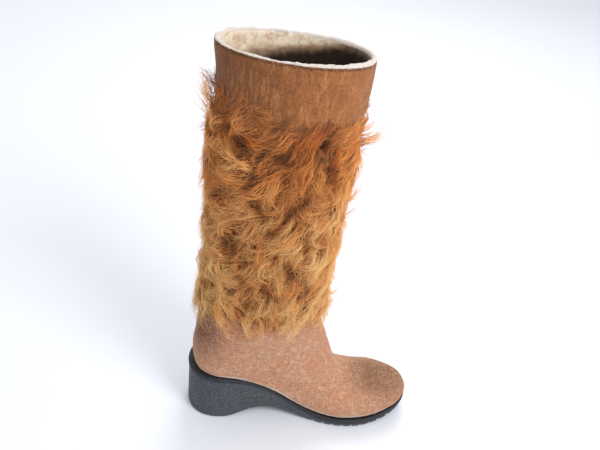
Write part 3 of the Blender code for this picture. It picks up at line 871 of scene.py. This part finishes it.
# Tufts that stand out at the front and the back of the leg:
# turn in degrees, height, angle from straight down in degrees, length, how far the tip stands out
TUFTS = (
    (0, 0.342, 175, 0.012, 0.031),
    (-5, 0.344, 160, 0.013, 0.028),
    (4, 0.347, 130, 0.014, 0.026),
    (-3, 0.350, 70, 0.014, 0.024),
    (2, 0.338, 20, 0.018, 0.019),
    (-9, 0.336, -20, 0.020, 0.013),
    (-1, 0.281, 165, 0.011, 0.021),
    (3, 0.276, 110, 0.012, 0.018),
    (-3, 0.259, 140, 0.011, 0.019),
    (3, 0.254, 30, 0.016, 0.015),
    (0, 0.228, 20, 0.022, 0.012),
    (-2, 0.196, 0, 0.022, 0.012),
    (0, 0.152, 95, 0.013, 0.018),
    (-5, 0.156, 30, 0.018, 0.015),
    (4, 0.146, 40, 0.018, 0.014),
    (178, 0.384, 170, 0.026, 0.012),
    (187, 0.376, 160, 0.030, 0.013),
    (170, 0.388, 176, 0.022, 0.010),
    (194, 0.362, 150, 0.026, 0.014),
    (176, 0.372, 165, 0.030, 0.015),
    (184, 0.362, 150, 0.030, 0.017),
    (191, 0.346, 120, 0.028, 0.017),
    (172, 0.352, 100, 0.026, 0.015),
    (180, 0.336, 60, 0.028, 0.015),
    (186, 0.322, 20, 0.030, 0.013),
    (183, 0.350, 20, 0.030, 0.012),
    (190, 0.300, 10, 0.030, 0.012),
    (181, 0.255, -10, 0.030, 0.012),
    (188, 0.205, 5, 0.030, 0.012),
    (182, 0.165, -10, 0.028, 0.012),
    (90, 0.300, 15, 0.030, 0.012),
    (70, 0.220, -15, 0.030, 0.011),
    (115, 0.190, 10, 0.030, 0.011),
)

# Partings in the wool on the inner side, sunk and painted dark as shade, from one turn in degrees and height
# to another
PARTINGS = (
    (-71, 0.314, -86, 0.295),
    (-86, 0.295, -98, 0.274),
    (-65, 0.356, -54, 0.346),
    (-54, 0.346, -47, 0.327),
    (-72, 0.391, -77, 0.380),
    (-58, 0.403, -61, 0.390),
    (-91, 0.392, -104, 0.381),
    (-137, 0.365, -128, 0.352),
    (-119, 0.303, -107, 0.292),
    (-64, 0.265, -62, 0.241),
    (-47, 0.266, -47, 0.247),
    (-101, 0.203, -87, 0.193),
    (-52, 0.198, -60, 0.185),
    (-145, 0.253, -138, 0.239),
    (-119, 0.334, -126, 0.318),
    (-82, 0.240, -74, 0.218),
    (-101, 0.353, -89, 0.348),
    (-127, 0.216, -118, 0.204),
)


def parted(turn, height):
    """How near each point lies to a parting, from 0 to 1."""
    radius = PARTING_RADIUS
    places = np.column_stack([turn * radius, height])
    ends = [((math.radians(a) * radius, b), (math.radians(c) * radius, d)) for a, b, c, d in PARTINGS]
    near = np.min([segment_distance(places, start, end) for start, end in ends], axis=0)
    return np.exp(-((near / PARTING_REACH) ** 2))


def lock_values(leg, swirl):
    """Where each lock starts, which way it runs and how it stands, row by row and then the tufts."""
    row, column = np.divmod(np.arange(WOOL_ROWS * WOOL_COLUMNS), WOOL_COLUMNS)
    count = row.size
    turn = (column + 0.5 * (row % 2) + rng.uniform(-0.45, 0.45, count)) * 2 * math.pi / WOOL_COLUMNS
    low, high = band_edges(turn)
    length = rng.uniform(*LOCK_LENGTH, count)
    share = (row + rng.uniform(0, 1, count)) / WOOL_ROWS
    start = low + 0.6 * length
    height = start + share * (high - start)
    places = leg.spot(turn, height, np.zeros(count))
    flat = 0.12 + 0.88 * smooth_step(0.0, 0.050, high - height)
    share_lump = np.clip(swirl.lump(places), -1, 1)
    free = rng.random(count) < FREE_LOCKS
    rise = np.where(free, rng.uniform(*FREE_RISE, count), rng.uniform(*LAID_RISE, count))
    rows = np.column_stack([
        turn,
        height,
        swirl.angle(places) + rng.normal(0, 0.32, count),
        rng.normal(0, 1.1, count),
        length,
        rng.uniform(*LOCK_ARCH, count) * flat,
        rise * flat,
        rng.uniform(*LOCK_WIDTH, count),
        swirl.tone(places) + rng.normal(0, 0.12, count),
        flat,
        0.0018 * share_lump * flat,
        np.full(count, 2.0),
    ])
    tufts = np.array(TUFTS)
    extra = len(tufts)
    standing = np.column_stack([
        np.radians(tufts[:, 0]),
        tufts[:, 1],
        np.radians(tufts[:, 2]),
        rng.normal(0, 0.3, extra),
        tufts[:, 3],
        np.full(extra, 0.001),
        tufts[:, 4],
        rng.uniform(0.004, 0.007, extra),
        rng.uniform(0.52, 0.66, extra) + 0.10 * (tufts[:, 0] > 160),
        np.ones(extra),
        np.zeros(extra),
        np.full(extra, 1.15),
    ])
    return np.vstack([rows, standing])


def lock_strands(leg, swirl):
    """What lay_strands takes for each strand of the locks, and the strand's tone."""
    rows = np.repeat(lock_values(leg, swirl), STRANDS_A_LOCK, axis=0)
    turn, height, angle, bend, length, arch, rise, width, tone, flat, lump, power = rows.T
    n = len(rows)
    side = rng.normal(0, 0.5, n) * width
    crest = np.exp(-((side / (0.45 * width)) ** 2))
    laid = (
        turn + rng.normal(0, 0.012, n),
        height + rng.normal(0, 0.0025, n),
        angle + rng.normal(0, 0.10, n),
        bend + rng.normal(0, 0.35, n),
        length * rng.uniform(0.72, 1.18, n),
        side,
        np.maximum((rng.uniform(0.0008, 0.0036, n) + 0.0016 * crest) * flat + lump, 0.0002),
        arch * rng.uniform(0.6, 1.3, n),
        rise * rng.uniform(0.55, 1.2, n),
        power,
    )
    return laid, tone


def loose_strands(leg, swirl):
    """What lay_strands takes for each fine stray strand that lies over the locks."""
    m = LOOSE_STRANDS
    turn = rng.uniform(0, 2 * math.pi, m)
    low, high = band_edges(turn)
    height = low + 0.02 + rng.uniform(0, 1, m) * (high - low - 0.06)
    places = leg.spot(turn, height, np.zeros(m))
    return (
        turn,
        height,
        swirl.angle(places) + rng.normal(0, 0.8, m),
        rng.normal(0, 1.5, m),
        rng.uniform(*LOOSE_LENGTH, m),
        np.zeros(m),
        rng.uniform(0.002, 0.005, m),
        rng.uniform(0.001, 0.005, m),
        rng.uniform(-0.002, 0.007, m),
        np.full(m, 1.5),
    )


def mat_strands(leg, swirl, paths, outs):
    """Paths made kinky and sunk at partings and pits, with each point's lift off the felt and its gap."""
    places = paths.reshape(-1, 3)
    kinks = [
        Ripples(seed, 0.011)(places) * 0.0009 + Ripples(seed + 5, 0.03)(places) * 0.0012
        for seed in (21, 22, 23)
    ]
    paths = paths + np.stack(kinks, axis=1).reshape(paths.shape)
    around = np.arctan2(paths[:, :, 1] - LEG_Y, paths[:, :, 0] - LEG_X)
    gap = np.maximum(parted(around.ravel(), paths[:, :, 2].ravel()), 0.8 * swirl.pit(paths.reshape(-1, 3)))
    gap = gap.reshape(around.shape)
    away = np.hypot(paths[:, :, 0] - LEG_X, paths[:, :, 1] - LEG_Y)
    lift = away - leg.radius(around, paths[:, :, 2])
    sunk = gap * np.clip(lift - LEAST_LIFT, 0, MOST_SUNK) * SINK_SHARE
    return paths - outs * sunk[:, :, None], lift - sunk, gap


def strand_colors(tone, height, lift, gap):
    """Colours along the strands, with painted shade at their roots and in gaps and painted light where they
    stand out.
    """
    # Painted light where a strand stands off the felt, and painted shade towards its root.
    tones = tone[:, None] + 0.24 * smooth_step(0.0015, 0.0085, lift) - 0.22 * (1 - STRAND_LEVELS) ** 2
    # Painted shade in partings and pits.
    colors = wool_color(tones - GAP_SHADE * gap)
    colors *= 1 - HIGH_LOSS * smooth_step(0.24, 0.35, height)[:, :, None]
    top = 0.6 * smooth_step(0.355, 0.395, height) * (1 - smooth_step(0.003, 0.007, lift))
    return colors + (TOP_COLOR - colors) * top[:, :, None]


def make_wool_strands(leg, swirl):
    """All strands, shared out at random over a few pieces of the same size."""
    locks, tone = lock_strands(leg, swirl)
    loose = loose_strands(leg, swirl)
    paths, outs = lay_strands(leg, *(np.concatenate(pair) for pair in zip(locks, loose)))
    n, m = len(tone), LOOSE_STRANDS
    tone = np.concatenate([tone + rng.normal(0, 0.08, n), rng.normal(0.70, 0.12, m)])
    widths = np.concatenate([rng.uniform(*STRAND_RADIUS, n), rng.uniform(*LOOSE_RADIUS, m)])
    paths, lift, gap = mat_strands(leg, swirl, paths, outs)
    colors = strand_colors(tone, paths[:, :, 2], lift, gap)
    material = strand_material("wool_strand", 0.8, 0.3)
    order = rng.permutation(len(paths))
    for k, chosen in enumerate(np.array_split(order, WOOL_PIECES)):
        name = f"wool_strands_{k + 1}"
        mesh = strands_mesh(name, paths[chosen], outs[chosen], widths[chosen], STRAND_LEVELS, colors[chosen])
        add_piece(name, mesh, material)


def make_wool_ground(leg, swirl):
    """The matted ground under the strands, thinned to nothing at the band's edges."""
    ground = fine_copy("wool_locks", "wool_ground", FLEECE_GRID, 2)
    points = vertex_array(ground)
    turn = np.arctan2(points[:, 1] - LEG_Y, points[:, 0] - LEG_X)
    reach = np.hypot(points[:, 0] - LEG_X, points[:, 1] - LEG_Y)
    felt = leg.radius(turn, points[:, 2])
    low, high = band_edges(turn)
    full = smooth_step(low - 0.002, low + 0.022, points[:, 2])
    full = full * (1 - smooth_step(high - 0.045, high - 0.006, points[:, 2]))
    lumps = swirl.lump(points) * 0.0012 + Ripples(32, 0.007)(points) * 0.0004
    depth = 0.45 * np.clip(reach - felt, 0, 0.006)
    reach = felt + (depth + 0.0004 + lumps) * full - 0.0022 * (1 - full)
    points[:, 0] = LEG_X + reach * np.cos(turn)
    points[:, 1] = LEG_Y + reach * np.sin(turn)
    set_vertices(ground, points)
    piece = add_piece("wool_ground", ground, fleece_material())
    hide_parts("wool_locks")


# Camera, light and floor

# Lights: name, place, what it is aimed at, size, power and colour
LIGHTS = (
    ("key", (0.9, -1.0, 1.4), (0.06, 0, 0.2), 0.8, 18, (1.0, 0.98, 0.96)),
    ("back", (0.4, 1.3, 1.4), (0.06, 0, 0.25), 1.0, 12, (1.0, 1.0, 1.0)),
)

# Half the floor's side, how far it lies below the sole, and the strength of the light from all round
FLOOR_REACH = 6
FLOOR_GAP = 0.0002
WORLD_STRENGTH = 0.80


def make_camera():
    """Camera at the photograph's place and angle, turned and drawn nearer so that it frames the one boot."""
    turn, pitch, roll = (math.radians(a) for a in (-CAMERA_TURN, CAMERA_PITCH, CAMERA_ROLL))
    ahead = Vector((0, math.cos(pitch), -math.sin(pitch)))
    right = Vector((1, 0, 0))
    up = right.cross(ahead)
    right, up = right * math.cos(roll) + up * math.sin(roll), up * math.cos(roll) - right * math.sin(roll)
    swing = Matrix.Rotation(turn, 3, "Z")
    ahead, right, up = swing @ ahead, swing @ right, swing @ up
    off_right, off_down = (pixel - size / 2 for pixel, size in zip(AIM_PIXEL, IMAGE_SIZE))
    aim = ahead + right * off_right / PHOTO_FOCAL - up * off_down / PHOTO_FOCAL
    nudge = ahead.rotation_difference(aim).to_matrix()
    ahead, right, up = nudge @ ahead, nudge @ right, nudge @ up
    camera = bpy.data.objects.new("camera", bpy.data.cameras.new("camera"))
    bpy.context.scene.collection.objects.link(camera)
    camera.matrix_world = Matrix.Translation(CAMERA_PLACE) @ Matrix((right, up, -ahead)).transposed().to_4x4()
    camera.data.sensor_width = SENSOR_WIDTH
    camera.data.lens = SENSOR_WIDTH * PHOTO_FOCAL * ZOOM / IMAGE_SIZE[0]
    camera.data.clip_start = 0.01
    bpy.context.scene.camera = camera


def add_light(name, place, aim, size, power, color):
    light = bpy.data.objects.new(name, bpy.data.lights.new(name, "AREA"))
    light.data.shape = "DISK"
    light.data.size = size
    light.data.energy = power
    light.data.color = color
    light.location = place
    light.rotation_euler = (Vector(aim) - Vector(place)).to_track_quat("-Z", "Y").to_euler()
    bpy.context.scene.collection.objects.link(light)


def make_studio():
    """Plain pale floor and soft light."""
    floor_shader = Shader("pale_floor", 0.45, 0, (1, 1, 1), 0.3)
    floor_shader.surface.inputs["Base Color"].default_value = (*linear(232, 235, 243), 1)
    bm = bmesh.new()
    bmesh.ops.create_grid(bm, x_segments=1, y_segments=1, size=FLOOR_REACH)
    mesh = bpy.data.meshes.new("floor")
    bm.to_mesh(mesh)
    bm.free()
    mesh.materials.append(floor_shader.material)
    floor = bpy.data.objects.new("floor", mesh)
    floor.location.z = -FLOOR_GAP
    bpy.context.scene.collection.objects.link(floor)

    world = bpy.data.worlds.new("studio")
    world.use_nodes = True
    sky = world.node_tree.nodes["Background"]
    sky.inputs["Color"].default_value = (0.96, 0.98, 1.0, 1)
    sky.inputs["Strength"].default_value = WORLD_STRENGTH
    bpy.context.scene.world = world
    for light in LIGHTS:
        add_light(*light)
    bpy.context.scene.view_settings.view_transform = "Standard"


make_camera()
make_studio()
rim_top = make_sole()
make_insole()
upper_mesh, rim_mask, inner_mask, inner_shade_mask = make_upper(rim_top)
make_felt_fibres(upper_mesh, rim_mask, inner_mask, inner_shade_mask)
leg, swirl = Leg(upper_mesh), Swirl()
make_wool_strands(leg, swirl)
make_wool_ground(leg, swirl)
